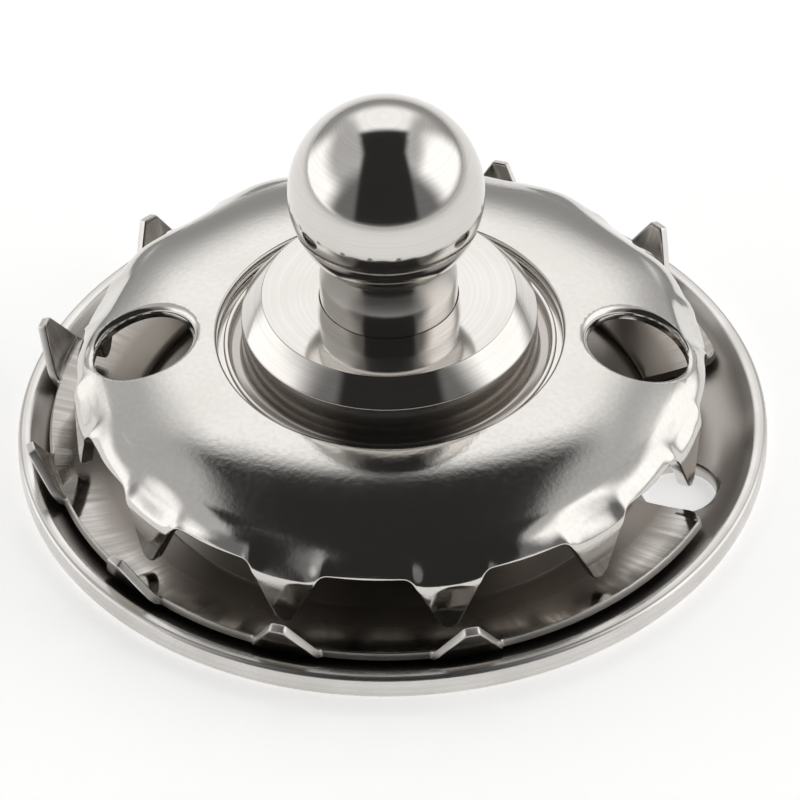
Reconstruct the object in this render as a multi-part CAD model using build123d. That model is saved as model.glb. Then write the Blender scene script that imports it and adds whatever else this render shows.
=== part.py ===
from build123d import *
import os
from math import asin, atan, cos, degrees, hypot, radians, sin, sqrt, tan

# Upper half of a lift-to-release snap fastener for cloth.
# Millimetres, +Z up. The origin is the middle of the flat underside.
# Azimuths are counted from the front (-Y) towards +X.

# Hub of the housing bush, as it stands in the dome: face, bevel, groove and bead
hub_rise = 1.33
hub_face_r = 3.37
hub_bevel_width = 0.55
hub_bevel_height = 0.67
hub_side_wall = 0.37
hub_top_wall = 0.70
groove_width = 0.35
groove_depth = 0.55
groove_round = 0.10
bead_width = 0.15
bead_height = 0.28
bead_round = 0.06
hub_edge_round = 0.05

# Lower part of the housing bush: flange under the dome, threaded shank and bore
flange_ledge = 0.60
flange_sheet = 0.62
shank_wall = 0.75
shank_foot_z = 0.10
shank_round = 0.10
bore_top_drop = 0.90
bore_top_width = 0.25
retaining_lip_width = 0.35
retaining_lip_height = 0.20

# Dome plate: a domed cover whose rim is notched, the teeth between the notches bent down
dome_sheet = 0.35
dome_hole_clearance = 0.18
dome_width = 3.73
dome_hole_slope = 4.0
dome_shoulder_slope = 24.0
dome_shoulder_bend = 1.40
dome_rim_slope = 62.0
tooth_floor_gap = 0.63
tooth_height = 1.714
tooth_step = 0.11
tooth_bend = 0.50
tooth_count = 12
tooth_tip_width = 0.34
tooth_tip_round = 0.30
notch_width = 2.40
notch_round = 0.30
notch_azimuth = -5.6
trim_margin = 0.15
spanner_hole_r = 1.33
spanner_hole_offset = 0.085
spanner_azimuth = 87.4
spanner_count = 2

# Claw ring: an open, dished ring with claws bent up to hold the cloth
ring_sheet = 0.25
ring_width = 2.10
ring_tooth_gap = 0.66
ring_edge_slope = 14.0
ring_start_azimuth = 105.0
ring_span = 319.5
ring_corner_round = 0.45
claw_first_azimuth = 131.4
claw_pitch = 30.0
claw_count = 9
claw_base_width = 1.85
claw_tip_width = 0.36
claw_height = 1.72
claw_lean = 67.0
claw_bend = 0.15

# Backing plate: a pressed pan with a rolled lip and a drawn, threaded collar
plate_sheet = 0.40
plate_ring_gap = 0.57
plate_lip_height = 0.40
plate_lip_width = 0.33
plate_lip_round = 0.14
plate_rise_width = 0.52
plate_rise_bend = 1.50
plate_foot_bend = 0.35
collar_wall = 0.62
collar_height = 0.70
collar_root_round = 0.20
thread_clearance = 0.03
pin_hole_r = 1.00
pin_hole_inset = 2.10
pin_hole_azimuth = 73.0
pin_hole_count = 2

# Seat ring: pressed into the bush, with the socket's mouth and the jaw cone
press_clearance = 0.01
seat_rim_wall = 0.26
mouth_ledge = 0.34
mouth_length = 0.45
mouth_chamfer = 0.12
cone_angle = 20.0
cone_height = 2.45

# Locking jaws: four quarter segments that grip the stud's neck
jaw_count = 4
jaw_gap_angle = 6.0
jaw_clearance = 0.04
jaw_wall = 0.25
jaw_lip_depth = 0.75
jaw_lip_height = 0.38
jaw_lead = 0.16
jaw_relief_height = 0.95
jaw_relief_clearance = 0.10
jaw_hook_depth = 0.65
jaw_hook_height = 0.30

# Lifter: a spool between the jaws' hooks, riveted to the knob
lifter_clearance = 0.05
lifter_foot_sheet = 0.30
lifter_neck_clearance = 0.15
lifter_wall = 0.42
lifter_head_ledge = 1.25
lifter_head_sheet = 0.35

# Pull knob: ball, stem and spindle turned in one piece
ball_r = 2.60
stem_spring_clearance = 0.134
stem_taper_width = 0.09
stem_taper_length = 0.95
stem_shown = 1.54
stem_clearance = 0.07
spindle_clearance = 0.03
rivet_flare = 0.28
seat_gap = 0.02

# Return spring: a conical coil between lifter and hub
spring_wire_r = 0.15
spring_wire_sides = 12
spring_clearance = 0.13
spring_foot_inset = 0.73
spring_turns = 3.0

# Radii stacked outwards from the hub: bush, dome, ring, plate
hub_r = hub_face_r + hub_bevel_width
bead_in_r = hub_r + groove_width
bead_out_r = bead_in_r + bead_width
dome_hole_r = bead_out_r + dome_hole_clearance
flange_r = dome_hole_r + flange_ledge
rim_r = dome_hole_r + dome_width
tooth_r = rim_r + tooth_step
spanner_circle_r = (dome_hole_r + rim_r) / 2 + spanner_hole_offset
ring_out_r = tooth_r + ring_tooth_gap
ring_in_r = ring_out_r - ring_width
plate_r = ring_out_r + plate_ring_gap + plate_lip_width
pin_hole_circle_r = plate_r - pin_hole_inset

# Radii inside the hub: bore, shank and collar
bore_r = hub_r - hub_side_wall
ceiling_r = bore_r - bore_top_width
retaining_lip_r = bore_r - retaining_lip_width
shank_r = bore_r + shank_wall
collar_in_r = shank_r + thread_clearance
collar_out_r = collar_in_r + collar_wall
seat_r = bore_r - press_clearance
cone_foot_r = seat_r - seat_rim_wall - cone_height * tan(radians(cone_angle))
mouth_r = cone_foot_r - mouth_ledge

# Heights stacked from the underside to the teeth and the jaws
tooth_tip_z = plate_sheet + tooth_floor_gap
rim_z = tooth_tip_z + tooth_height
claw_tip_z = plate_sheet + claw_height
seat_foot_z = shank_foot_z + retaining_lip_height
seat_floor_z = seat_foot_z + mouth_length
seat_top_z = seat_floor_z + cone_height
jaw_foot_z = seat_floor_z + seat_gap
jaw_lip_z = jaw_foot_z + jaw_lip_height
jaw_hook_z = jaw_lip_z + jaw_relief_height
jaw_top_z = jaw_hook_z + jaw_hook_height
lifter_neck_z = jaw_hook_z - lifter_clearance
lifter_foot_z = lifter_neck_z - lifter_foot_sheet
lifter_head_z = jaw_top_z + lifter_clearance
lifter_top_z = lifter_head_z + lifter_head_sheet


def polar(centre, radius, angle):
    """A point of an arc in the (r, z) plane, its angle counted from outwards."""
    return centre[0] + radius * cos(radians(angle)), centre[1] + radius * sin(radians(angle))


# Dome arcs: the crown runs into the shoulder, the shoulder ends at the rim, the teeth bend down
rim_from = 90 - dome_rim_slope
shoulder_from = 90 - dome_shoulder_slope
crown_from = 90 - dome_hole_slope
shoulder_centre = polar((rim_r, rim_z), -dome_shoulder_bend, rim_from)
bend_drop = tooth_step * tan(radians(dome_rim_slope)) + tooth_bend * tan(radians(rim_from / 2))
bend_centre = (tooth_r - tooth_bend, rim_z - bend_drop)
shoulder_end = polar(shoulder_centre, dome_shoulder_bend, shoulder_from)
crown_sweep = cos(radians(shoulder_from)) - cos(radians(crown_from))
crown_r = (shoulder_end[0] - dome_hole_r) / crown_sweep
crown_centre = polar(shoulder_end, -crown_r, shoulder_from)
dome_hole_z = polar(crown_centre, crown_r, crown_from)[1]


def dome_under_z(r):
    """Height of the dome's inner face at radius r, on its crown."""
    return crown_centre[1] + sqrt((crown_r - dome_sheet) ** 2 - (r - crown_centre[0]) ** 2)


def cone_r(z):
    """Radius of the seat ring's cone at height z."""
    return cone_foot_r + (z - seat_floor_z) * tan(radians(cone_angle))


# Radii of jaws, lifter and spindle, stacked inwards from the cone
jaw_relief_r = cone_r(jaw_lip_z) - jaw_clearance - jaw_wall
jaw_lip_r = jaw_relief_r - jaw_lip_depth
jaw_hook_r = jaw_relief_r - jaw_hook_depth
lifter_foot_r = jaw_relief_r - jaw_relief_clearance
lifter_neck_r = jaw_hook_r - lifter_neck_clearance
lifter_head_r = jaw_hook_r + lifter_head_ledge
lifter_bore_r = lifter_neck_r - lifter_wall
spindle_r = lifter_bore_r - spindle_clearance

# Heights above the dome, and what hangs on them
hub_top_z = dome_hole_z + hub_rise
ceiling_z = hub_top_z - hub_top_wall
spring_foot_r = lifter_head_r - spring_foot_inset
spring_top_r = ceiling_r - spring_clearance - spring_wire_r
stem_r = spring_foot_r - spring_wire_r - stem_spring_clearance
stem_hole_r = stem_r + stem_clearance
stem_neck_r = stem_r - stem_taper_width
ball_foot_z = hub_top_z + stem_shown
ball_z = ball_foot_z + sqrt(ball_r ** 2 - stem_neck_r ** 2)


def turned(corners, arc=360.0):
    """A body turned about Z from a closed outline of (r, z, rounding) corners."""
    points = [(r, z) for r, z, _ in corners]
    roundings = [rounding for _, _, rounding in corners]
    outline = FilletPolyline(*points, radius=roundings, close=True)
    return revolve(Plane.XZ * make_face(outline), Axis.Z, arc)


def at_azimuth(shape, azimuth):
    """The shape, made at the front, turned to an azimuth."""
    return Rot(0, 0, azimuth) * shape


def upright_pins(r, height, circle_r, azimuths):
    """Cutting pins for a ring of holes."""
    pin = Pos(0, -circle_r, height / 2) * Cylinder(r, 3 * height)
    return [at_azimuth(pin, azimuth) for azimuth in azimuths]


def spread(first, count, pitch):
    """Azimuths of a pattern."""
    return [first + i * pitch for i in range(count)]


def make_backing_plate():
    lip_in_r = plate_r - plate_lip_width
    rise_r = lip_in_r - plate_rise_width
    lip_z = plate_sheet + plate_lip_height
    plate = turned([
        (collar_in_r, 0, 0),
        (plate_r, 0, plate_foot_bend),
        (plate_r, lip_z, plate_lip_round),
        (lip_in_r, lip_z, plate_lip_round),
        (rise_r, plate_sheet, plate_rise_bend),
        (collar_out_r, plate_sheet, collar_root_round),
        (collar_out_r, plate_sheet + collar_height, 0),
        (collar_in_r, plate_sheet + collar_height, 0),
    ])
    azimuths = spread(pin_hole_azimuth, pin_hole_count, 360 / pin_hole_count)
    return plate - upright_pins(pin_hole_r, plate_sheet, pin_hole_circle_r, azimuths)


def claw_ring_section():
    """The sheet's section: dish, bend and claw as one band."""
    slope = ring_edge_slope
    dish_r = (ring_out_r - ring_in_r) / sin(radians(slope))
    foot_z = plate_sheet + press_clearance
    dish_centre = (ring_in_r, foot_z + ring_sheet + dish_r)
    edge = polar(dish_centre, dish_r, slope - 90)
    bend_centre = polar(edge, claw_bend, slope + 90)
    bent = polar(bend_centre, claw_bend, claw_lean - 90)
    length = (claw_tip_z - bent[1]) / sin(radians(claw_lean))
    tip = polar(bent, length, claw_lean)
    outer_bent = polar(bend_centre, claw_bend + ring_sheet, claw_lean - 90)
    outer_tip = polar(outer_bent, length, claw_lean)
    band = [
        CenterArc(dish_centre, dish_r, -90, slope),
        CenterArc(bend_centre, claw_bend, slope - 90, claw_lean - slope),
        Line(bent, tip),
        Line(tip, outer_tip),
        Line(outer_tip, outer_bent),
        CenterArc(bend_centre, claw_bend + ring_sheet, slope - 90, claw_lean - slope),
        CenterArc(dish_centre, dish_r + ring_sheet, -90, slope),
        Line((ring_in_r, foot_z), (ring_in_r, foot_z + ring_sheet)),
    ]
    return make_face(Curve() + band), edge[1]


def make_claw_ring():
    section, edge_z = claw_ring_section()
    band = revolve(Plane.XZ * section, Axis.Z)
    claw_outline = Polygon(
        (-claw_base_width / 2, 0),
        (claw_base_width / 2, 0),
        (claw_base_width / 2, edge_z),
        (claw_tip_width / 2, claw_tip_z),
        (-claw_tip_width / 2, claw_tip_z),
        (-claw_base_width / 2, edge_z),
        align=None,
    )
    claw_room = extrude(Plane.XZ.offset(ring_in_r) * claw_outline, plate_r)
    waste = Cylinder(2 * plate_r, 3 * claw_tip_z) - Cylinder(ring_out_r, 3 * claw_tip_z)
    waste -= [at_azimuth(claw_room, a) for a in spread(claw_first_azimuth, claw_count, claw_pitch)]
    gap_box = Plane.XZ * Pos(plate_r / 2, claw_tip_z / 2) * Rectangle(plate_r, 2 * claw_tip_z)
    gap = revolve(gap_box, Axis.Z, 360 - ring_span)
    ring = band - waste - at_azimuth(gap, ring_start_azimuth + ring_span - 90)
    corners = ring.edges().filter_by(Axis.Z).filter_by(on_gap_end)
    return fillet(corners, ring_corner_round)


def on_gap_end(edge):
    """True for the upright edges at the outer corners of the ring's gap."""
    centre = edge.center()
    azimuth = Vector(0, -1, 0).get_signed_angle(centre, Vector(0, 0, 1))
    ends = (ring_start_azimuth, ring_start_azimuth + ring_span - 360)
    outer = hypot(centre.X, centre.Y) > (ring_in_r + ring_out_r) / 2
    return outer and min(abs(azimuth - end) for end in ends) < 1


def dome_side(inset):
    """One side of the sheet's section: crown, shoulder, rim, bend and tooth."""
    crown = CenterArc(crown_centre, crown_r - inset, crown_from, shoulder_from - crown_from)
    bend_r = dome_shoulder_bend - inset
    shoulder = CenterArc(shoulder_centre, bend_r, shoulder_from, rim_from - shoulder_from)
    bend = CenterArc(bend_centre, tooth_bend - inset, rim_from, -rim_from)
    tooth = Line(bend @ 1, (tooth_r - inset, tooth_tip_z - trim_margin))
    return [crown, shoulder, Line(shoulder @ 1, bend @ 0), bend, tooth]


def dome_section():
    """The sheet's section, from the hub hole to the teeth's foot."""
    outer = dome_side(0)
    inner = dome_side(dome_sheet)
    ends = [Line(outer[0] @ 0, inner[0] @ 0), Line(outer[-1] @ 1, inner[-1] @ 1)]
    return make_face(Curve() + outer + inner + ends)


def make_dome_plate():
    pitch = 360 / tooth_count
    half_pitch = tooth_r * sin(radians(pitch / 2))
    flank_foot = half_pitch - tooth_tip_width / 2
    reach = half_pitch + trim_margin
    low_z = tooth_tip_z - 2 * trim_margin
    notch = FilletPolyline(
        (-notch_width / 2, rim_z),
        (notch_width / 2, rim_z),
        (flank_foot, tooth_tip_z),
        (reach, tooth_tip_z),
        (reach, low_z),
        (-reach, low_z),
        (-reach, tooth_tip_z),
        (-flank_foot, tooth_tip_z),
        radius=[notch_round, notch_round, tooth_tip_round, 0, 0, 0, 0, tooth_tip_round],
        close=True,
    )
    cutter = extrude(Plane.XZ.offset(dome_hole_r) * make_face(notch), plate_r - dome_hole_r)
    dome = revolve(Plane.XZ * dome_section(), Axis.Z)
    dome -= [at_azimuth(cutter, a) for a in spread(notch_azimuth, tooth_count, pitch)]
    azimuths = spread(spanner_azimuth, spanner_count, 360 / spanner_count)
    dome -= upright_pins(spanner_hole_r, dome_hole_z, spanner_circle_r, azimuths)
    return dome


def make_housing_bush():
    groove_z = dome_hole_z - groove_depth
    bead_z = groove_z + bead_height
    flange_foot_z = dome_under_z(flange_r) - flange_sheet
    return turned([
        (stem_hole_r, ceiling_z, 0),
        (stem_hole_r, hub_top_z, 0),
        (hub_face_r, hub_top_z, hub_edge_round),
        (hub_r, hub_top_z - hub_bevel_height, hub_edge_round),
        (hub_r, groove_z, groove_round),
        (bead_in_r, groove_z, groove_round),
        (bead_in_r, bead_z, bead_round),
        (bead_out_r, bead_z, bead_round),
        (bead_out_r, dome_under_z(dome_hole_r), 0),
        (flange_r, dome_under_z(flange_r), 0),
        (flange_r, flange_foot_z, 0),
        (shank_r, flange_foot_z, 0),
        (shank_r, shank_foot_z, shank_round),
        (retaining_lip_r, shank_foot_z, 0),
        (retaining_lip_r, seat_foot_z, 0),
        (bore_r, seat_foot_z, 0),
        (bore_r, ceiling_z - bore_top_drop, 0),
        (ceiling_r, ceiling_z, 0),
    ])


def make_seat_ring():
    return turned([
        (mouth_r + mouth_chamfer, seat_foot_z, 0),
        (seat_r, seat_foot_z, 0),
        (seat_r, seat_top_z, 0),
        (cone_r(seat_top_z), seat_top_z, 0),
        (cone_foot_r, seat_floor_z, 0),
        (mouth_r, seat_floor_z, 0),
        (mouth_r, seat_foot_z + mouth_chamfer, 0),
    ])


def make_jaw(index):
    arc = 360 / jaw_count - jaw_gap_angle
    jaw = turned([
        (jaw_lip_r + jaw_lead, jaw_foot_z, 0),
        (cone_r(jaw_foot_z) - jaw_clearance, jaw_foot_z, 0),
        (cone_r(jaw_top_z) - jaw_clearance, jaw_top_z, 0),
        (jaw_hook_r, jaw_top_z, 0),
        (jaw_hook_r, jaw_hook_z, 0),
        (jaw_relief_r, jaw_hook_z, 0),
        (jaw_relief_r, jaw_lip_z, 0),
        (jaw_lip_r, jaw_lip_z, 0),
        (jaw_lip_r, jaw_foot_z + jaw_lead, 0),
    ], arc)
    return Rot(0, 0, index * 360 / jaw_count - arc / 2) * jaw


def make_lifter():
    return turned([
        (lifter_bore_r + rivet_flare, lifter_foot_z, 0),
        (lifter_foot_r, lifter_foot_z, 0),
        (lifter_foot_r, lifter_neck_z, 0),
        (lifter_neck_r, lifter_neck_z, 0),
        (lifter_neck_r, lifter_head_z, 0),
        (lifter_head_r, lifter_head_z, 0),
        (lifter_head_r, lifter_top_z, 0),
        (lifter_bore_r, lifter_top_z, 0),
        (lifter_bore_r, lifter_foot_z + rivet_flare, 0),
    ])


def make_pull_knob():
    shoulder_z = lifter_top_z + seat_gap
    foot_z = lifter_foot_z + seat_gap
    flare = rivet_flare - seat_gap
    ball_top = (0, ball_z + ball_r)
    neck_angle = degrees(asin((ball_foot_z - ball_z) / ball_r))
    outline = Polyline(
        ball_top,
        (0, foot_z),
        (spindle_r + flare, foot_z),
        (spindle_r, foot_z + flare),
        (spindle_r, shoulder_z),
        (stem_r, shoulder_z),
        (stem_r, ball_foot_z - stem_taper_length),
        (stem_neck_r, ball_foot_z),
    )
    ball = CenterArc((0, ball_z), ball_r, neck_angle, 90 - neck_angle)
    return revolve(Plane.XZ * make_face(Curve() + [outline, ball]), Axis.Z)


def make_return_spring():
    length = ceiling_z - lifter_top_z - 2 * (spring_wire_r + seat_gap)
    flare = degrees(atan((spring_top_r - spring_foot_r) / length))
    foot = (0, 0, lifter_top_z + spring_wire_r + seat_gap)
    coil = Helix(length / spring_turns, length, spring_foot_r, center=foot, cone_angle=flare)
    section = Plane(coil @ 0, z_dir=coil % 0) * RegularPolygon(spring_wire_r, spring_wire_sides)
    return sweep(section, path=coil, is_frenet=True)


nodes = {
    "backing_plate": make_backing_plate(),
    "claw_ring": make_claw_ring(),
    "dome_plate": make_dome_plate(),
    "housing_bush": make_housing_bush(),
    "seat_ring": make_seat_ring(),
    "lifter": make_lifter(),
    "pull_knob": make_pull_knob(),
    "return_spring": make_return_spring(),
}
for number in range(jaw_count):
    nodes[f"locking_jaw_{number + 1}"] = make_jaw(number)

os.makedirs("parts", exist_ok=True)
for name, shape in nodes.items():
    export_step(shape, f"parts/{name}.step")
    print(name, "volume", round(shape.volume, 3))
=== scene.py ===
# %% [markdown]
# # Upper half of a lift-to-release snap fastener
# A small, bright nickel-plated fastener for cloth: a ball knob on a turned hub, a domed cover with teeth,
# an open ring with claws, and a round backing plate. The solids come from the CAD model. This lesson models
# the pieces that show again as smooth meshes in the same place and at the same size, and gives them metal,
# light and a camera. Sizes are written in millimetres and become metres where Blender gets them.

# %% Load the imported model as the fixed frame
from math import asin, atan2, cos, degrees, exp, hypot, pi, radians, sin, sqrt, tan

import bmesh
import bpy
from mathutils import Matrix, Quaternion, Vector


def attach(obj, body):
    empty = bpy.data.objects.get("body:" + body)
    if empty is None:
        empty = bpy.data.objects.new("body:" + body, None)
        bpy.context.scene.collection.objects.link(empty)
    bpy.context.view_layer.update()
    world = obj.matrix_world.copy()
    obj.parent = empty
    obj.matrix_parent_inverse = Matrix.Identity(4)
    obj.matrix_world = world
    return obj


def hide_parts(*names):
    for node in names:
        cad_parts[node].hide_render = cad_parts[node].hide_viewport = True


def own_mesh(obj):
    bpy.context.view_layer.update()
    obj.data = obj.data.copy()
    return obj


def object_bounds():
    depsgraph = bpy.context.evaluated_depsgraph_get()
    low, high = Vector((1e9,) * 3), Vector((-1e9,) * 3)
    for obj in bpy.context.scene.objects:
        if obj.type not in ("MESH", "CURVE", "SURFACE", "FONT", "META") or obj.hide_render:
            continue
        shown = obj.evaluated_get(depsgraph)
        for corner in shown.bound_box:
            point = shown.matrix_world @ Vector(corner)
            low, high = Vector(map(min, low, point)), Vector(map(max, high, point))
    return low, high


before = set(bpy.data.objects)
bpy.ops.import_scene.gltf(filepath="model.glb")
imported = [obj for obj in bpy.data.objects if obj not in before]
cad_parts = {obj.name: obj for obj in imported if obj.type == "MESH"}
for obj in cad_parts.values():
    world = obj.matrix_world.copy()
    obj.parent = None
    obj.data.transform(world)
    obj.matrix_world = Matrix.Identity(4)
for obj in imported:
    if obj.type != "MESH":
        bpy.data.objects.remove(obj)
cad_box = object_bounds()
MM = 0.001
print("CAD box in mm:", [[round(x / MM, 2) for x in corner] for corner in cad_box])

# %% [markdown]
# ## Camera
# The photograph was taken from about 41 degrees above the table with a long lens, so the round parts show
# little perspective. A long lens is a narrow angle of view: here the frame takes in 21 mm from 300 mm away.
# The picture also leans by less than 2 degrees, which is a roll of the camera.

# %% Place the camera
CAMERA_ELEVATION = radians(41.3)
CAMERA_ROLL = radians(-1.5)
CAMERA_DISTANCE = 300 * MM
SENSOR_WIDTH, FOCAL_LENGTH = 36, 505.3
AIM = Vector((0.221, 0.730, 1.046)) * MM
toward_camera = Vector((0, -cos(CAMERA_ELEVATION), sin(CAMERA_ELEVATION)))
lens = bpy.data.cameras.new("camera")
camera = bpy.data.objects.new("camera", lens)
bpy.context.scene.collection.objects.link(camera)
camera.location = AIM + toward_camera * CAMERA_DISTANCE
camera.rotation_mode = "QUATERNION"
camera.rotation_quaternion = toward_camera.to_track_quat("Z", "Y") @ Quaternion((0, 0, 1), CAMERA_ROLL)
lens.sensor_width = SENSOR_WIDTH
lens.lens = FOCAL_LENGTH
lens.clip_start = 0.01
lens.clip_end = 10
bpy.context.scene.camera = camera
frame_width = CAMERA_DISTANCE * SENSOR_WIDTH / FOCAL_LENGTH
print("the frame is", round(frame_width / MM, 1), "mm wide at", round(CAMERA_DISTANCE / MM), "mm")

# %% [markdown]
# ## Turned pieces
# Knob, bush and backing plate are round about one axis. A lathe turns such a piece from its outline, and
# Blender's Spin does the same: a vertex is extruded from corner to corner along the outline, the corners are
# rounded with Bevel, and Spin carries the outline once round. Merging doubles closes the seam, and only then
# do the faces know which side is out.

# %% Outline helpers
SAME_SPOT = 1e-7
NEAR_SPOT = 1e-6
ROUND_SEGMENTS = 5
SMOOTH_ANGLE = radians(35)


def arc(centre_r, centre_z, radius, start, end, steps):
    """Corners along an arc of the outline, angles in degrees from outwards."""
    angles = [radians(start + (end - start) * i / steps) for i in range(steps + 1)]
    return [(centre_r + radius * cos(a), centre_z + radius * sin(a), 0) for a in angles]


def select_near(mesh, spot):
    """Selects the vertices at one spot and nothing else."""
    for vertex in mesh.verts:
        vertex.select_set((vertex.co - spot).length < NEAR_SPOT)
    mesh.select_flush_mode()


def outline(name, corners, closed):
    """A wire outline in the x-z plane from corners (radius, height, rounding) in mm."""
    bpy.ops.object.select_all(action="DESELECT")
    start = Vector((corners[0][0], 0, corners[0][1])) * MM
    bpy.ops.mesh.primitive_plane_add(size=MM, location=start)
    piece = bpy.context.object
    piece.name = name
    bpy.ops.object.transform_apply()
    bpy.ops.object.mode_set(mode="EDIT")
    bpy.ops.mesh.merge(type="CENTER")
    here = start
    for corner in corners[1:] + (corners[:1] if closed else []):
        there = Vector((corner[0], 0, corner[1])) * MM
        bpy.ops.mesh.extrude_region_move(TRANSFORM_OT_translate={"value": there - here})
        here = there
    bpy.ops.mesh.select_all(action="SELECT")
    bpy.ops.mesh.remove_doubles(threshold=SAME_SPOT)
    for i, (r, z, rounding) in enumerate(corners):
        if rounding:
            before, after = corners[i - 1], corners[(i + 1) % len(corners)]
            turn = atan2(z - before[1], r - before[0]) - atan2(after[1] - z, after[0] - r)
            turn = abs((turn + pi) % (2 * pi) - pi)
            mesh = bmesh.from_edit_mesh(piece.data)
            select_near(mesh, Vector((r, 0, z)) * MM)
            reach = rounding * tan(turn / 2) * MM
            bpy.ops.mesh.bevel(offset=reach, segments=ROUND_SEGMENTS, affect="VERTICES")
    return piece


def turned(name, corners, steps, closed=True):
    """A turned piece: its outline carried once round the axis."""
    piece = outline(name, corners, closed)
    bpy.ops.mesh.select_all(action="SELECT")
    bpy.ops.mesh.spin(steps=steps, angle=2 * pi, center=(0, 0, 0), axis=(0, 0, 1))
    bpy.ops.mesh.select_all(action="SELECT")
    bpy.ops.mesh.remove_doubles(threshold=SAME_SPOT)
    bpy.ops.mesh.normals_make_consistent(inside=False)
    bpy.ops.object.mode_set(mode="OBJECT")
    return piece


def finish_piece(piece, body, node):
    """Smooths the piece, hangs it on its body in place of its CAD node, and prints its size."""
    bpy.ops.object.select_all(action="DESELECT")
    piece.select_set(True)
    bpy.context.view_layer.objects.active = piece
    bpy.ops.object.shade_smooth_by_angle(angle=SMOOTH_ANGLE)
    even = piece.modifiers.new("even_shading", "WEIGHTED_NORMAL")
    even.keep_sharp = True
    bpy.ops.object.modifier_apply(modifier=even.name)
    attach(piece, body)
    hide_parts(node)
    size = [round(x / MM, 2) for x in piece.dimensions]
    mesh = bmesh.new()
    mesh.from_mesh(piece.data)
    loose = sum(not e.is_manifold for e in mesh.edges)
    print(piece.name, size, "mm", len(mesh.faces), "faces", loose, "open edges", "volume",
          round(mesh.calc_volume(signed=True) / MM ** 3, 2), "mm3")
    mesh.free()


# %% [markdown]
# ### Pull knob
# Ball, stem and spindle are one turned part, polished and plated. The ball's arc ends where the narrowed
# stem meets it, which leaves a sharp neck line. The spindle's foot is riveted over below the lifter.

# %% Turn the knob
BALL_R, BALL_Z = 2.60, 8.931
STEM_R, NECK_R = 1.83, 1.74
STEM_FOOT_Z, TAPER_LENGTH, TAPER_ROUND = 2.82, 0.95, 3.0
SPINDLE_R, SPINDLE_FOOT_Z = 0.994, 2.03
RIVET_R, RIVET_Z = 1.25, 1.77
neck = degrees(asin(-sqrt(BALL_R ** 2 - NECK_R ** 2) / BALL_R))
ball_foot_z = BALL_Z + BALL_R * sin(radians(neck))
knob = turned("knob_ball_and_stem", [
    (0, RIVET_Z, 0), (RIVET_R, RIVET_Z, 0), (SPINDLE_R, SPINDLE_FOOT_Z, 0), (SPINDLE_R, STEM_FOOT_Z, 0),
    (STEM_R, STEM_FOOT_Z, 0.08), (STEM_R, ball_foot_z - TAPER_LENGTH, TAPER_ROUND),
    (NECK_R, ball_foot_z - 0.03, 0),
    *arc(0, BALL_Z, BALL_R, neck + 0.6, 90, 44)[:-1], (0, BALL_Z + BALL_R, 0),
], steps=180, closed=False)
finish_piece(knob, "knob", "pull_knob")

# %% [markdown]
# ### Housing bush
# The hub in the middle of the dome is turned from bar: a flat face round the stem, a wide bevel, a groove,
# and a thin bead that stands up beside the dome's hole. Its flange and shank hide below the dome. The hole
# round the stem is drawn closer than in the CAD model (1.842 for 1.90 mm), because the real gap hardly shows.

# %% Turn the bush
HUB_TOP_Z, BEVEL_FOOT_Z, CEILING_Z = 5.459, 4.789, 4.759
GROOVE_Z, BEAD_TOP_Z, BORE_TOP_Z = 3.579, 3.859, 3.859
FLANGE_FOOT_Z, LIP_Z, SHANK_FOOT_Z = 3.094, 0.30, 0.10
STEM_HOLE_R, FACE_R, HUB_R = 1.842, 3.37, 3.92
BEAD_IN_R, BEAD_OUT_R, FLANGE_R = 4.27, 4.42, 5.20
SHANK_R, BORE_R, LIP_R = 4.30, 3.55, 3.20
bush = turned("hub_and_shank", [
    (STEM_HOLE_R, CEILING_Z, 0), (STEM_HOLE_R, HUB_TOP_Z, 0.02), (FACE_R, HUB_TOP_Z, 0.05),
    (HUB_R, BEVEL_FOOT_Z, 0.05), (HUB_R, GROOVE_Z, 0.10), (BEAD_IN_R, GROOVE_Z, 0.10),
    (BEAD_IN_R, BEAD_TOP_Z, 0.06), (BEAD_OUT_R, BEAD_TOP_Z, 0.06), (BEAD_OUT_R, 3.780, 0),
    (FLANGE_R, 3.714, 0.03), (FLANGE_R, FLANGE_FOOT_Z, 0.05), (SHANK_R, FLANGE_FOOT_Z, 0),
    (SHANK_R, SHANK_FOOT_Z, 0.10), (LIP_R, SHANK_FOOT_Z, 0.05), (LIP_R, LIP_Z, 0), (BORE_R, LIP_Z, 0),
    (BORE_R, BORE_TOP_Z, 0), (3.30, CEILING_Z, 0),
], steps=180)
finish_piece(bush, "housing", "housing_bush")

# %% [markdown]
# ### Backing plate
# A shallow pan pressed from sheet, its edge rolled up to a smooth lip, with a collar drawn up in the middle
# for the bush to screw into. The two round holes take a pin key. They are drilled with a Boolean, each by a
# pin whose top flares out to the pan's surface, so that the edge comes out softly rounded.

# %% Turn the plate
PLATE_R, PLATE_SHEET, ROLLED_Z = 10.0, 0.40, 0.80
COLLAR_IN_R, COLLAR_OUT_R, COLLAR_TOP_Z = 4.33, 4.95, 1.10
plate = turned("backing_plate_pan", [
    (COLLAR_IN_R, 0, 0), (PLATE_R, 0, 0.35), (PLATE_R, ROLLED_Z, 0.14), (9.67, ROLLED_Z, 0.14),
    (9.15, PLATE_SHEET, 1.50), (COLLAR_OUT_R, PLATE_SHEET, 0.20), (COLLAR_OUT_R, COLLAR_TOP_Z, 0.06),
    (COLLAR_IN_R, COLLAR_TOP_Z, 0),
], steps=200)


# %% Drill round holes with a flared pin
PIN_VERTICES = 96
PIN_STEP = 5


def at_azimuth(azimuth, r, z=0):
    """The point at an azimuth from the front, a radius and a height."""
    return r * sin(radians(azimuth)), -r * cos(radians(azimuth)), z


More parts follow.
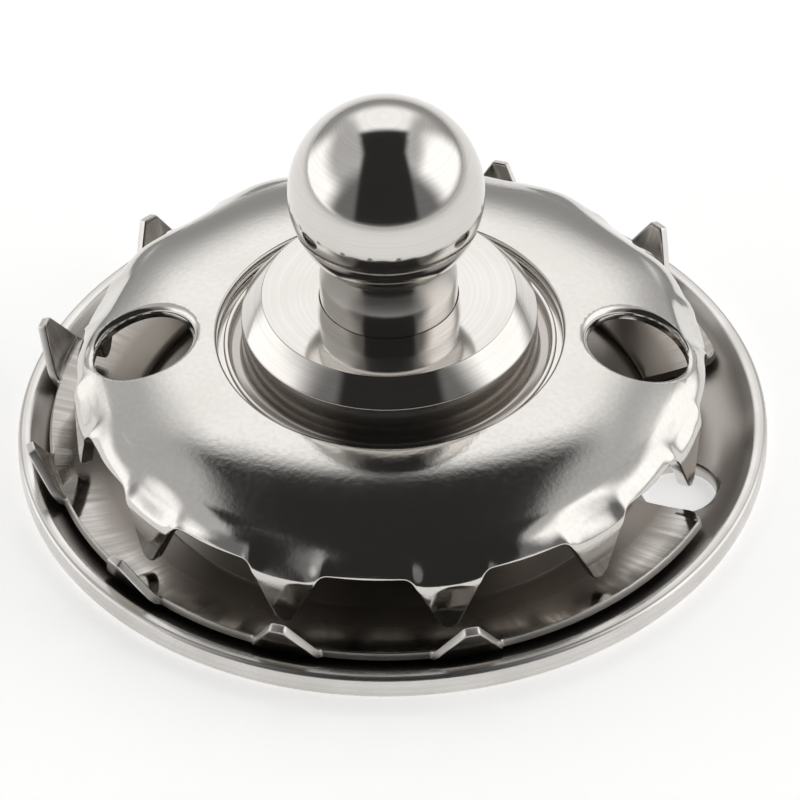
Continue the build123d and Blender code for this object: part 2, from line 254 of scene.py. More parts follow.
def flared_pin(x, y, radius, surface_z, rings):
    """A cutting pin whose rings (radius added, height above the surface) follow the sheet's surface."""
    bpy.ops.object.select_all(action="DESELECT")
    bpy.ops.mesh.primitive_circle_add(vertices=PIN_VERTICES, radius=radius * MM, fill_type="NGON",
                                      location=(x * MM, y * MM, -PIN_STEP * MM))
    pin = bpy.context.object
    bpy.ops.object.transform_apply()
    bpy.ops.object.mode_set(mode="EDIT")
    for _ in rings:
        bpy.ops.mesh.extrude_region_move(TRANSFORM_OT_translate={"value": (0, 0, PIN_STEP * MM)})
    bpy.ops.mesh.select_all(action="SELECT")
    bpy.ops.mesh.normals_make_consistent(inside=False)
    bpy.ops.object.mode_set(mode="OBJECT")
    for vertex in pin.data.vertices:
        level = round((vertex.co.z / MM + PIN_STEP) / PIN_STEP)
        if level > 0:
            added, height = rings[level - 1]
            out = Vector((vertex.co.x / MM - x, vertex.co.y / MM - y)).normalized() * (radius + added)
            px, py = x + out.x, y + out.y
            vertex.co = Vector((px, py, surface_z(hypot(px, py)) + height)) * MM
    return pin


def drill(piece, pin):
    """Cuts the pin out of the piece."""
    cut = piece.modifiers.new("hole", "BOOLEAN")
    cut.operation = "DIFFERENCE"
    cut.solver = "EXACT"
    cut.object = pin
    bpy.ops.object.select_all(action="DESELECT")
    piece.select_set(True)
    bpy.context.view_layer.objects.active = piece
    bpy.ops.object.modifier_apply(modifier=cut.name)
    bpy.data.objects.remove(pin)


# %% Drill the two pin holes of the plate
PIN_HOLE_R, PIN_CIRCLE_R = 1.0, 7.9
PIN_FLARE = [(0.0, -0.08), (0.012, -0.04), (0.04, -0.01), (0.10, 0.05), (0.10, 3.0)]
for azimuth in (73, 253):
    x, y, _ = at_azimuth(azimuth, PIN_CIRCLE_R)
    drill(plate, flared_pin(x, y, PIN_HOLE_R, lambda r: PLATE_SHEET, PIN_FLARE))
finish_piece(plate, "housing", "backing_plate")

# %% [markdown]
# ### Dome plate
# The dome is pressed from one sheet: a flat blank is cut to its outline, with the notches and teeth, and
# then the press tool draws it down and bends the teeth. It is modelled the same way. A flat grid is the
# blank, wrapped over to have an upper side, a cut edge and a lower side, and every vertex is then moved to
# where the tool puts it. That keeps clean rows along each tooth, which a polished surface needs: it shows
# every dent. Where a tooth bends down it pulls the sheet with it, so the rim is slightly fluted, and the
# sheet is pinched up a little at the notches' corners.

# %% The tool's profile: crown, shoulder, rim, bend and tooth
# An arc is (centre's radius, centre's height, own radius). Slopes are in degrees from flat.
SHEET = 0.35
CROWN = (3.966, -4.939, 9.090)
SHOULDER = (7.094, 2.087, 1.40)
BEND = (7.940, 2.412, 0.50)
HOLE_SLOPE, CROWN_SLOPE, RIM_SLOPE, TOOTH_SLOPE = 4, 24, 62, 90
TOOTH_R, RIM_Z, TIP_Z = 8.44, 2.744, 1.03
LONGER_THAN_A_TOOTH = 3.0


def arc_point(centre, slope):
    """Radius and height of an arc's point where the sheet has a slope."""
    return centre[0] + centre[2] * sin(radians(slope)), centre[1] + centre[2] * cos(radians(slope))


def profile_runs():
    """The profile as runs of (length, kind, the arc or the line's start, slope at the run's start)."""
    rim_start, rim_end = arc_point(SHOULDER, RIM_SLOPE), arc_point(BEND, RIM_SLOPE)
    return [
        (CROWN[2] * radians(CROWN_SLOPE - HOLE_SLOPE), "arc", CROWN, HOLE_SLOPE),
        (SHOULDER[2] * radians(RIM_SLOPE - CROWN_SLOPE), "arc", SHOULDER, CROWN_SLOPE),
        (hypot(rim_end[0] - rim_start[0], rim_end[1] - rim_start[1]), "line", rim_start, RIM_SLOPE),
        (BEND[2] * radians(TOOTH_SLOPE - RIM_SLOPE), "arc", BEND, RIM_SLOPE),
        (LONGER_THAN_A_TOOTH, "line", arc_point(BEND, TOOTH_SLOPE), TOOTH_SLOPE),
    ]


RUNS = profile_runs()
CROWN_S = RUNS[0][0]
RIM_S = CROWN_S + RUNS[1][0]
BEND_S = RIM_S + RUNS[2][0] + RUNS[3][0]
print("along the sheet: rim at", round(RIM_S, 2), "mm, bend ends at", round(BEND_S, 2), "mm")


def on_profile(s):
    """Radius, height and slope (degrees) at distance s along the dome's upper side."""
    for length, kind, data, slope in RUNS:
        if s <= length or slope == TOOTH_SLOPE:
            break
        s -= length
    if kind == "arc":
        slope += degrees(s / data[2])
        return *arc_point(data, slope), slope
    return data[0] + s * cos(radians(slope)), data[1] - s * sin(radians(slope)), slope


def distance_until(low, high, holds):
    """The distance along the profile, between low and high, up to which its points pass the test."""
    for _ in range(40):
        middle = (low + high) / 2
        low, high = (middle, high) if holds(on_profile(middle)) else (low, middle)
    return low


def blend(value, low, high):
    """0 below low, 1 above high, smooth between."""
    t = min(1, max(0, (value - low) / (high - low)))
    return t * t * (3 - 2 * t)


# %% The blank's outline: half a notch and half a tooth
TEETH = 12
PITCH = 360 / TEETH
NOTCH_AZIMUTH = -5.6
HALF_NOTCH, HALF_TIP, CORNER_R = 1.20, 0.17, 0.30
CORNER_STEPS, FLANK_STEPS = 6, 12
TOOTH_STEEPEST = 2.2


def along_line(start, end, steps):
    """The points between start and end that cut the line into steps."""
    return [(start[0] + (end[0] - start[0]) * i / steps, start[1] + (end[1] - start[1]) * i / steps)
            for i in range(1, steps)]


def tooth_outline():
    """Points (sideways from the notch's middle, height of the cut edge) over half a pitch, in mm."""
    half_pitch = TOOTH_R * sin(radians(PITCH / 2))
    foot = half_pitch - HALF_TIP
    lean = atan2(RIM_Z - TIP_Z, foot - HALF_NOTCH)
    tangent = CORNER_R * tan(lean / 2)
    turns = [lean * i / CORNER_STEPS for i in range(CORNER_STEPS + 1)]
    points = [(w, RIM_Z) for w in (0, 0.25, 0.5, 0.75, 0.92)]
    points += [(HALF_NOTCH - tangent + CORNER_R * sin(a), RIM_Z - CORNER_R + CORNER_R * cos(a))
               for a in turns]
    points += along_line((HALF_NOTCH + tangent * cos(lean), RIM_Z - tangent * sin(lean)),
                         (foot - tangent * cos(lean), TIP_Z + tangent * sin(lean)), FLANK_STEPS)
    points += [(foot + tangent - CORNER_R * sin(a), TIP_Z + CORNER_R - CORNER_R * cos(a))
               for a in turns[:0:-1]]
    return [p for p in points if p[0] < half_pitch - 0.01] + [(half_pitch, TIP_Z)]


def columns():
    """All columns of the blank: (azimuth, distance to the cut edge, sideways steepness of the edge)."""
    points = tooth_outline()
    half = []
    for i, (w, z) in enumerate(points):
        w0, z0 = points[max(i - 1, 0)]
        w1, z1 = points[min(i + 1, len(points) - 1)]
        edge_s = distance_until(RIM_S, RIM_S + 4, lambda point: point[1] > z) if z < RIM_Z else RIM_S
        half.append((degrees(asin(w / TOOTH_R)), edge_s, min(TOOTH_STEEPEST, abs(z1 - z0) / (w1 - w0))))
    notch = [(-a, s, k) for a, s, k in half[:0:-1]] + half[:-1]
    return [(NOTCH_AZIMUTH + PITCH * number + a, s, k) for number in range(TEETH) for a, s, k in notch]


COLUMNS = columns()
print("columns over the dome's", TEETH, "notches and teeth:", len(COLUMNS))

# %% Press the dome
FLUTE, FLUTE_INWARD = 0.10, 0.02
FLUTE_FROM_SLOPE, FLUTE_FULL_SLOPE = 16, 46
PINCH, PINCH_AZIMUTH, PINCH_WIDTH, PINCH_LENGTH = 0.07, 8.2, 1.7, 0.38
HOLE_EDGE, CUT_EDGE = 0.10, 0.05
CROWN_STEPS, RIM_STEPS = 22, 34


def grid_blank(name, across, along):
    """A flat grid of faces, and its vertices' places in it."""
    bpy.ops.object.select_all(action="DESELECT")
    bpy.ops.mesh.primitive_grid_add(x_subdivisions=across, y_subdivisions=along, size=2 * MM)
    blank = bpy.context.object
    blank.name = name
    places = [(round((v.co.x / MM + 1) / 2 * across), round((v.co.y / MM + 1) / 2 * along))
              for v in blank.data.vertices]
    return blank, places


def close_blank(piece, end_tests=()):
    """Merges the wrapped blank's seams and closes each open end with a face; a test picks its vertices."""
    bpy.ops.object.mode_set(mode="EDIT")
    bpy.ops.mesh.select_all(action="SELECT")
    bpy.ops.mesh.remove_doubles(threshold=SAME_SPOT)
    for on_end in end_tests:
        mesh = bmesh.from_edit_mesh(piece.data)
        for vertex in mesh.verts:
            vertex.select_set(on_end(vertex))
        mesh.select_flush_mode()
        bpy.ops.mesh.edge_face_add()
    bpy.ops.mesh.select_all(action="SELECT")
    bpy.ops.mesh.normals_make_consistent(inside=False)
    bpy.ops.object.mode_set(mode="OBJECT")


def flute(azimuth, slope, s):
    """How far the press draws the sheet out (+) at the notches and their corners, and in (-) at the teeth."""
    rise = blend(slope, FLUTE_FROM_SLOPE, FLUTE_FULL_SLOPE) * (1 - blend(s, RIM_S - 0.25, BEND_S))
    from_notch = azimuth - NOTCH_AZIMUTH
    from_corner = abs((from_notch + PITCH / 2) % PITCH - PITCH / 2) - PINCH_AZIMUTH
    pinch = PINCH * exp(-(from_corner / PINCH_WIDTH) ** 2 - ((s - RIM_S) / PINCH_LENGTH) ** 2)
    return rise * (FLUTE * cos(radians(TEETH * from_notch)) - FLUTE_INWARD) + pinch


def pressed_point(azimuth, s, depth):
    """A point of the sheet at distance s along the profile and a depth below its upper side."""
    r, z, slope = on_profile(s)
    lift = flute(azimuth, slope, s) - depth
    return Vector(at_azimuth(azimuth, r + lift * sin(radians(slope)), z + lift * cos(radians(slope)))) * MM


def section_rows(edge_s, steepness):
    """(distance, depth) round the sheet's section: upper side, cut edge, lower side, hub hole's edge."""
    hole, edge = HOLE_EDGE, CUT_EDGE
    reach = edge * sqrt(1 + steepness ** 2)
    crown = [hole + (CROWN_S - hole) * i / CROWN_STEPS for i in range(CROWN_STEPS)]
    rim = [CROWN_S + (edge_s - reach - CROWN_S) * i / RIM_STEPS for i in range(RIM_STEPS + 1)]
    turns = [radians(22.5 * i) for i in range(1, 5)]
    rows = [(s, 0) for s in crown + rim]
    rows += [(edge_s - reach + reach * sin(a), edge - edge * cos(a)) for a in turns]
    rows += [(edge_s - reach + reach * cos(a), SHEET - edge + edge * sin(a)) for a in [0] + turns]
    rows += [(s, SHEET) for s in (crown[::2] + rim[::2])[-2::-1]]
    rows += [(hole - hole * sin(a), SHEET - hole + hole * cos(a)) for a in turns]
    rows += [(hole - hole * cos(a), hole - hole * sin(a)) for a in [0] + turns[:-1]]
    return rows


sections = [section_rows(s, k) for _, s, k in COLUMNS]
dome, places = grid_blank("dome_with_teeth", len(COLUMNS), len(sections[0]))
for vertex, (i, j) in zip(dome.data.vertices, places):
    azimuth = COLUMNS[i % len(COLUMNS)][0]
    vertex.co = pressed_point(azimuth, *sections[i % len(COLUMNS)][j % len(sections[0])])
close_blank(dome)
print("dome:", len(COLUMNS), "columns,", len(sections[0]), "rows")

# %% Punch the two spanner holes
SPANNER_HOLE_R, SPANNER_CIRCLE_R = 1.33, 6.55
SPANNER_FLARE = [(0.0, -0.22), (0.012, -0.15), (0.045, -0.085), (0.095, -0.035), (0.16, 0.0), (0.26, 0.05),
                 (0.26, 3.0)]


def crown_height(r):
    """Height of the dome's upper side at a radius."""
    return on_profile(distance_until(0, RIM_S, lambda point: point[0] < r))[1]


for azimuth in (87.4, 267.4):
    x, y, _ = at_azimuth(azimuth, SPANNER_CIRCLE_R)
    drill(dome, flared_pin(x, y, SPANNER_HOLE_R, crown_height, SPANNER_FLARE))
finish_piece(dome, "housing", "dome_plate")

# %% [markdown]
# ### Claw ring
# An open ring of thin sheet, dished, its nine claws cut and bent up at the outer edge to bite into cloth.
# It is pressed like the dome, so it is modelled like the dome: a wrapped flat blank moved to its shape. The
# ring is open at one place, so its two ends are closed with a face each. The shears leave the cut edge
# rougher than the sheet, and the material paints it lighter, a painted highlight where the cut face catches
# the light, so the edge is marked here with an attribute that the material reads later.

# %% The ring's profile
# The dish is an arc: (radius of its inner edge, height of its centre, own radius of its upper side).
RING_SHEET = 0.25
DISH = (7.0, 9.340, 8.680)
DISH_SLOPE, CLAW_LEAN = 14, 67
CLAW_BEND, CLAW_TIP_Z = 0.15, 2.12
edge_r = DISH[0] + DISH[2] * sin(radians(DISH_SLOPE))
edge_z = DISH[1] - DISH[2] * cos(radians(DISH_SLOPE))
bend_r = edge_r - CLAW_BEND * sin(radians(DISH_SLOPE))
bend_z = edge_z + CLAW_BEND * cos(radians(DISH_SLOPE))
bent_r = bend_r + CLAW_BEND * sin(radians(CLAW_LEAN))
bent_z = bend_z - CLAW_BEND * cos(radians(CLAW_LEAN))
DISH_S = DISH[2] * radians(DISH_SLOPE)
BENT_S = DISH_S + CLAW_BEND * radians(CLAW_LEAN - DISH_SLOPE)
TIP_S = BENT_S + (CLAW_TIP_Z - bent_z) / sin(radians(CLAW_LEAN))
print("ring: edge at", round(DISH_S, 2), "mm along the sheet, claw tip at", round(TIP_S, 2), "mm")


def ring_point(azimuth, s, depth):
    """A point of the ring's sheet at distance s from its inner edge and a depth below its upper side."""
    if s < DISH_S:
        slope = s / DISH[2]
        r, z = DISH[0] + (DISH[2] + depth) * sin(slope), DISH[1] - (DISH[2] + depth) * cos(slope)
    elif s < BENT_S:
        slope = radians(DISH_SLOPE) + (s - DISH_S) / CLAW_BEND
        r, z = bend_r + (CLAW_BEND + depth) * sin(slope), bend_z - (CLAW_BEND + depth) * cos(slope)
    else:
        up, lean = s - BENT_S, radians(CLAW_LEAN)
        r = bent_r + up * cos(lean) + depth * sin(lean)
        z = bent_z + up * sin(lean) - depth * cos(lean)
    return Vector(at_azimuth(azimuth, r, z)) * MM


# %% The ring's outline: claws, gaps between them and two rounded ends
CLAWS, FIRST_CLAW, CLAW_PITCH = 9, 131.4, 30
RING_START, RING_END = 105.0, 424.5
HALF_BASE, HALF_CLAW_TIP, FOOT_ROUND, TIP_ROUND = 0.925, 0.18, 0.14, 0.10
END_ROUND = 0.45
CLAW_STEEPEST = 1.8


def claw_outline(height):
    """Points (sideways from the claw's middle, height) over half a claw, and half the claw's width."""
    lean = atan2(height, HALF_BASE - HALF_CLAW_TIP)
    foot, tip = FOOT_ROUND * tan(lean / 2), TIP_ROUND * tan(lean / 2)
    turns = [lean * i / 4 for i in range(5)]
    claw = [(0.0, height), (HALF_CLAW_TIP - tip, height)]
    claw += [(HALF_CLAW_TIP - tip + TIP_ROUND * sin(a), height - TIP_ROUND + TIP_ROUND * cos(a))
             for a in turns[1:]]
    low = (HALF_BASE - foot * cos(lean), foot * sin(lean))
    claw += along_line(claw[-1], low, 9) + [low]
    claw += [(HALF_BASE + foot - FOOT_ROUND * sin(a), FOOT_ROUND - FOOT_ROUND * cos(a))
             for a in turns[-2::-1]]
    return claw, HALF_BASE + foot


def claw_columns():
    """Columns of the ring: (azimuth, distance to the cut edge, sideways steepness)."""
    claw, half_width = claw_outline(TIP_S - DISH_S)
    width = degrees(half_width / edge_r)
    middles = [FIRST_CLAW + CLAW_PITCH * number for number in range(CLAWS)]
    found = []
    for middle in middles:
        found += [(middle - degrees(w / edge_r), DISH_S + h) for w, h in claw]
        found += [(middle + degrees(w / edge_r), DISH_S + h) for w, h in claw]
    for middle in middles[:-1]:
        start, end = middle + width, middle + CLAW_PITCH - width
        found += [(start + (end - start) * i / 12, DISH_S) for i in range(1, 12)]
    for start, end, side in ((RING_START, middles[0] - width, 1), (RING_END, middles[-1] + width, -1)):
        for d in (0, 0.02, 0.06, 0.14, 0.26, 0.36, 0.45):
            drop = END_ROUND - sqrt(END_ROUND ** 2 - (END_ROUND - d) ** 2)
            found.append((start + side * degrees(d / edge_r), DISH_S - drop))
        inner = start + side * degrees(END_ROUND / edge_r)
        found += [(inner + (end - inner) * i / 14, DISH_S) for i in range(1, 14)]
    found = sorted(set((round(a, 6), s) for a, s in found))
    steep = []
    for i, (a, s) in enumerate(found):
        a0, s0 = found[max(i - 1, 0)]
        a1, s1 = found[min(i + 1, len(found) - 1)]
        steep.append((a, s, min(CLAW_STEEPEST, abs(s1 - s0) / (radians(a1 - a0) * edge_r))))
    return steep


# %% Press the ring
RING_EDGE = 0.04
DISH_STEPS, CLAW_STEPS = 14, 22
DISH_MARGIN = 0.12


def ring_rows(edge_s, steepness):
    """(distance, depth) round the ring's section: upper side, cut edge, lower side, inner edge."""
    edge = RING_EDGE
    reach = edge * sqrt(1 + steepness ** 2)
    dish = [edge + (DISH_S - DISH_MARGIN - edge) * i / DISH_STEPS for i in range(DISH_STEPS + 1)]
    last = dish[-1] if edge_s > dish[-1] + 0.11 else dish[9]
    dish = [d * last / dish[-1] if d > dish[0] else d for d in dish]
    bend = [last + (edge_s - reach - last) * i / CLAW_STEPS for i in range(1, CLAW_STEPS + 1)]
    turns = [radians(30 * i) for i in range(1, 4)]
    rows = [(s, 0) for s in dish + bend]
    rows += [(edge_s - reach + reach * sin(a), edge - edge * cos(a)) for a in turns]
    rows += [(edge_s - reach + reach * cos(a), RING_SHEET - edge + edge * sin(a)) for a in [0] + turns]
    rows += [(s, RING_SHEET) for s in (dish + bend)[-2::-1]]
    rows += [(edge - edge * sin(a), RING_SHEET - edge + edge * cos(a)) for a in turns]
    rows += [(edge - edge * cos(a), edge - edge * sin(a)) for a in [0] + turns[:-1]]
    return rows


def on_ring_end(azimuth):
    """The test for the vertices of the ring's end at an azimuth."""
    side, front = cos(radians(azimuth)), sin(radians(azimuth))

    def on_end(vertex):
        across, along = vertex.co.x * side + vertex.co.y * front, vertex.co.x * front - vertex.co.y * side
        return abs(across) < SAME_SPOT and along > 0

    return on_end


RING_COLUMNS = claw_columns()
sections = [ring_rows(s, k) for _, s, k in RING_COLUMNS]
ring, places = grid_blank("ring_with_claws", len(RING_COLUMNS) - 1, len(sections[0]))
cut_edge = ring.data.attributes.new("cut_edge", "FLOAT", "POINT")
for vertex, (i, j) in zip(ring.data.vertices, places):
    s, depth = sections[i][j % len(sections[0])]
    vertex.co = ring_point(RING_COLUMNS[i][0], s, depth)
    # The cut edge is marked for the material's roughness and its painted highlight.
    cut_edge.data[vertex.index].value = float(0.02 < depth < RING_SHEET - 0.02 and s > 0.1)
close_blank(ring, [on_ring_end(RING_START), on_ring_end(RING_END - 360)])
print("ring:", len(RING_COLUMNS), "columns,", len(sections[0]), "rows")
finish_piece(ring, "housing", "claw_ring")

# %% [markdown]
# ### Return spring
# A short conical coil of hard-drawn wire between lifter and hub, out of sight inside the bush. The wire's
# round section is swept along a helix that widens upwards. The spring is squeezed towards the hub's ceiling
# when the knob is lifted.

# %% Wind the spring
# The foot and the top are (radius of the coil, height of the wire's middle).
WIRE_R, TURNS = 0.15, 3
FOOT, TOP = (2.114, 2.97), (3.02, 4.589)
COIL_STEPS, WIRE_STEPS = 180, 16


def on_wire_end(r, z, turn):
    """The test for the vertices of the wire's end whose middle is at a radius, height and turn."""
    middle = Vector((r * cos(turn), r * sin(turn), z)) * MM

    def on_end(vertex):
        return len(vertex.link_edges) == 3 and (vertex.co - middle).length < 1.1 * WIRE_R * MM

    return on_end


spring, places = grid_blank("conical_spring", COIL_STEPS, WIRE_STEPS)
rise = atan2(TOP[1] - FOOT[1], TURNS * pi * (FOOT[0] + TOP[0]))
for vertex, (i, j) in zip(spring.data.vertices, places):
    along = i / COIL_STEPS
    around = 2 * pi * j / WIRE_STEPS
    turn = 2 * pi * TURNS * along
    r = FOOT[0] + (TOP[0] - FOOT[0]) * along + WIRE_R * cos(around)
    z = FOOT[1] + (TOP[1] - FOOT[1]) * along + WIRE_R * sin(around) * cos(rise)
    slip = WIRE_R * sin(around) * sin(rise)
    vertex.co = Vector((r * cos(turn) + slip * sin(turn), r * sin(turn) - slip * cos(turn), z)) * MM
close_blank(spring, [on_wire_end(*FOOT, 0.0), on_wire_end(*TOP, 2 * pi * TURNS)])
finish_piece(spring, "housing", "return_spring")
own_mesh(spring)

# %% [markdown]
# ## Materials
# The pieces are taken to be brass under a nickel plating, but for the spring, which is bare steel wire.
# Nickel is a slightly warm grey metal, and a metal has no colour but that of its reflections, so the recipes
# differ in what the surface was before plating: turned surfaces keep fine rings from the lathe, pressed
# sheet keeps a fine orange-peel grain, and parts plated in a barrel come out duller and streaky.

# %% A colour from sRGB hex, and one function that adds a node
def linear_colour(srgb_hex):
    """Linear RGBA from an sRGB hex colour such as 'c8c4bc'."""
    channels = [int(srgb_hex[i:i + 2], 16) / 255 for i in (0, 2, 4)]
    return [c / 12.92 if c <= 0.04045 else ((c + 0.055) / 1.055) ** 2.4 for c in channels] + [1.0]


def add_node(tree, kind, inputs=None, **settings):
    """Adds a node, sets its properties, and fills or links its inputs."""
    node = tree.nodes.new(kind)
    for name, value in settings.items():
        setattr(node, name, value)
    for name, value in (inputs or {}).items():
        if isinstance(value, bpy.types.NodeSocket):
            tree.links.new(value, node.inputs[name])
        else:
            node.inputs[name].default_value = value
    return node


# %% [markdown]
# The pattern that the tool left follows the piece's shape. On a turned piece it depends only on radius and
# height, so the noise reads those two. On the drawn ring it runs outwards, so the noise reads the direction
# from the axis. Elsewhere it is plain grain in all directions.

# %% Patterns in the metal
STREAKS_ROUND = 8
STREAK_DRIFT = 12


def without_height(tree, place):
    """A place on the piece without its height, so that it points straight away from the axis."""
    return add_node(tree, "ShaderNodeVectorMath", {0: place, 1: (1, 1, 0)}, operation="MULTIPLY").outputs[0]


def radius_or_height(tree, place, measure):
    """A place's radius or height."""
    if measure == "height":
        return add_node(tree, "ShaderNodeSeparateXYZ", {0: place}).outputs["Z"]
    flat = without_height(tree, place)
    return add_node(tree, "ShaderNodeVectorMath", {0: flat}, operation="LENGTH").outputs["Value"]


def pattern_place(tree, kind, size_mm):
    """Coordinates in which one unit is one streak or grain of the given size."""
    place = add_node(tree, "ShaderNodeTexCoord").outputs["Object"]
    scale = 1 / (size_mm * MM)
    if kind == "turned":
        radius = radius_or_height(tree, place, "radius")
        height = radius_or_height(tree, place, "height")
        place = add_node(tree, "ShaderNodeCombineXYZ", {"X": radius, "Y": height}).outputs[0]
    if kind != "radial":
        scaled = {0: place, "Scale": scale}
        return add_node(tree, "ShaderNodeVectorMath", scaled, operation="SCALE").outputs[0]
    flat = without_height(tree, place)
    ray = add_node(tree, "ShaderNodeVectorMath", {0: flat}, operation="NORMALIZE").outputs[0]
    spread = add_node(tree, "ShaderNodeVectorMath", {0: ray, "Scale": STREAKS_ROUND / size_mm},
                      operation="SCALE").outputs[0]
    drift = add_node(tree, "ShaderNodeVectorMath", {0: place, "Scale": scale / STREAK_DRIFT},
                     operation="SCALE").outputs[0]
    return add_node(tree, "ShaderNodeVectorMath", {0: spread, 1: drift}, operation="ADD").outputs[0]


def zone_mask(tree, measure, low_mm=0, high_mm=0, soft_mm=0):
    """1 on the cut edge, or where 'radius' or 'height' lies between two sizes, 0 elsewhere."""
    if measure == "cut_edge":
        return add_node(tree, "ShaderNodeAttribute", attribute_name="cut_edge").outputs["Fac"]
    value = radius_or_height(tree, add_node(tree, "ShaderNodeTexCoord").outputs["Object"], measure)
    above = add_node(tree, "ShaderNodeMapRange", {
        "Value": value, "From Min": (low_mm - soft_mm) * MM,
        "From Max": (low_mm + soft_mm) * MM}).outputs["Result"]
    below = add_node(tree, "ShaderNodeMapRange", {
        "Value": value, "From Min": (high_mm + soft_mm) * MM,
        "From Max": (high_mm - soft_mm) * MM}).outputs["Result"]
    return add_node(tree, "ShaderNodeMath", {0: above, 1: below}, operation="MULTIPLY").outputs[0]


# %% [markdown]
# Some places are zones of the same material: a range of radius or height, or the cut edge, with a colour and
# a roughness of their own. Where the polishing wheel does not reach, they are rougher. Most of their colours
# are
# painted light: painted shade in the hub's groove, inside the pan and on the ring under the dome, and a
# painted highlight on the cut edge.

# %% One recipe for all finishes
CLOUD_MM = 2.2
WORN_LOW, WORN_HIGH = 0.15, 0.36
DULLER, SLEEKER = 1.3, 0.8


def plated_metal(name, colour, dull, roughness, pattern, size_mm, depth_mm, grain_mm=0.0, zones=()):
    """A nickel-plated metal: colour, colour in its dull places, roughness, and the tool's pattern as relief.
    Each zone is (limits, colour, roughness). A limit is (measure, low, high, softness) in mm, and a zone
    lies inside all its limits."""
    material = bpy.data.materials.new(name)
    material.use_nodes = True
    tree = material.node_tree
    shader = tree.nodes["Principled BSDF"]
    shader.inputs["Metallic"].default_value = 1.0
    marks = add_node(tree, "ShaderNodeTexNoise", {
        "Vector": pattern_place(tree, pattern, size_mm), "Scale": 1.0, "Detail": 2.0}).outputs["Fac"]
    cloud = add_node(tree, "ShaderNodeTexNoise", {
        "Vector": pattern_place(tree, "grain", CLOUD_MM), "Scale": 1.0, "Detail": 2.0}).outputs["Fac"]
    mixed = add_node(tree, "ShaderNodeMath", {0: marks, 1: cloud}, operation="MULTIPLY").outputs[0]
    worn = add_node(tree, "ShaderNodeMapRange", {
        "Value": mixed, "From Min": WORN_LOW, "From Max": WORN_HIGH}).outputs["Result"]
    tint = add_node(tree, "ShaderNodeMix", {"Factor": worn}, data_type="RGBA")
    tint.inputs["A"].default_value = linear_colour(dull)
    tint.inputs["B"].default_value = linear_colour(colour)
    shown = tint.outputs["Result"]
    polish = add_node(tree, "ShaderNodeMapRange", {
        "Value": mixed, "From Min": WORN_LOW, "From Max": WORN_HIGH,
        "To Min": roughness * DULLER, "To Max": roughness * SLEEKER}).outputs["Result"]
    relief = add_node(tree, "ShaderNodeBump", {"Height": marks, "Distance": depth_mm * MM})
    if grain_mm:
        grain = add_node(tree, "ShaderNodeTexNoise", {
            "Vector": pattern_place(tree, "grain", grain_mm), "Scale": 1.0, "Detail": 1.0}).outputs["Fac"]
        relief = add_node(tree, "ShaderNodeBump", {
            "Height": grain, "Distance": depth_mm * MM, "Normal": relief.outputs["Normal"]})
    for limits, zone_colour, zone_roughness in zones:
        mask = zone_mask(tree, *limits[0])
        for limit in limits[1:]:
            both = {0: mask, 1: zone_mask(tree, *limit)}
            mask = add_node(tree, "ShaderNodeMath", both, operation="MULTIPLY").outputs[0]
        # Each zone's colour is laid over the metal's: painted shade in most zones, a painted highlight on the
        # cut edge.
        painted_light_and_finish_tint = add_node(tree, "ShaderNodeMix", {"Factor": mask}, data_type="RGBA")
        tree.links.new(shown, painted_light_and_finish_tint.inputs["A"])
        painted_light_and_finish_tint.inputs["B"].default_value = linear_colour(zone_colour)
        shown = painted_light_and_finish_tint.outputs["Result"]
        polish = add_node(tree, "ShaderNodeMix", {
            "Factor": mask, "A": polish, "B": zone_roughness}).outputs["Result"]
    tree.links.new(shown, shader.inputs["Base Color"])
    tree.links.new(polish, shader.inputs["Roughness"])
    tree.links.new(relief.outputs["Normal"], shader.inputs["Normal"])
    return material


# %% The six finishes
# Turned, polished and plated: lathe rings 0.09 mm apart just catch the light. The wheel does not reach the
# stem's neck below the ball.
turned_nickel = plated_metal(
    "bright_nickel_on_turned_brass", "dad7d3", "d2cec9", 0.09, "turned", 0.09, 0.00008,
    zones=[([("height", 6.15, 6.85, 0.08)], "d8d5d1", 0.26)])
# The hub is the same. The wheel does not reach the groove below the bevel, so it is rougher there, and its
# colour there is painted darker: painted shade in the groove.
hub_nickel = plated_metal(
    "bright_nickel_on_turned_brass_hub", "dad7d3", "d2cec9", 0.07, "turned", 0.09, 0.00008,
    zones=[([("radius", 3.905, 4.23, 0.015)], "b5b0ab", 0.20)])
# Pressed and plated: the drawn sheet's grain shows where light meets dark.
pressed_nickel = plated_metal(
    "bright_nickel_on_pressed_brass", "d5d2ce", "d0cdc8", 0.11, "grain", 0.15, 0.0017)
# Pressed, tumbled and plated: a soft satin that blurs reflections. Inside the pan, under the ring and dome,
# it is
# rougher, and painted browner and darker: painted shade.
satin_nickel = plated_metal(
    "satin_nickel_on_pressed_brass", "dedbd8", "d0cdc9", 0.27, "turned", 0.12, 0.0006, 0.07,
    zones=[([("radius", 0.0, 9.55, 0.14), ("height", 0.25, 2.0, 0.05)], "a7a19b", 0.34)])
# Plated in a barrel: duller, brownish in the streaks that the press left. Inside 8.2 mm, under the dome, it
# is
# darker and duller: painted shade. The sheared edge is rougher and painted lighter: a painted highlight.
barrel_nickel = plated_metal(
    "barrel_nickel_on_drawn_brass", "b7b3ae", "9a958f", 0.11, "radial", 0.16, 0.0016,
    zones=[([("radius", 0.0, 8.2, 0.4)], "8d867f", 0.30), ([("cut_edge",)], "e0ddd9", 0.38)])
# Hard-drawn spring wire, greyer, with its drawing grain.
spring_steel = plated_metal(
    "hard_drawn_spring_steel", "a9a8a6", "8d8b89", 0.28, "grain", 0.06, 0.0010)

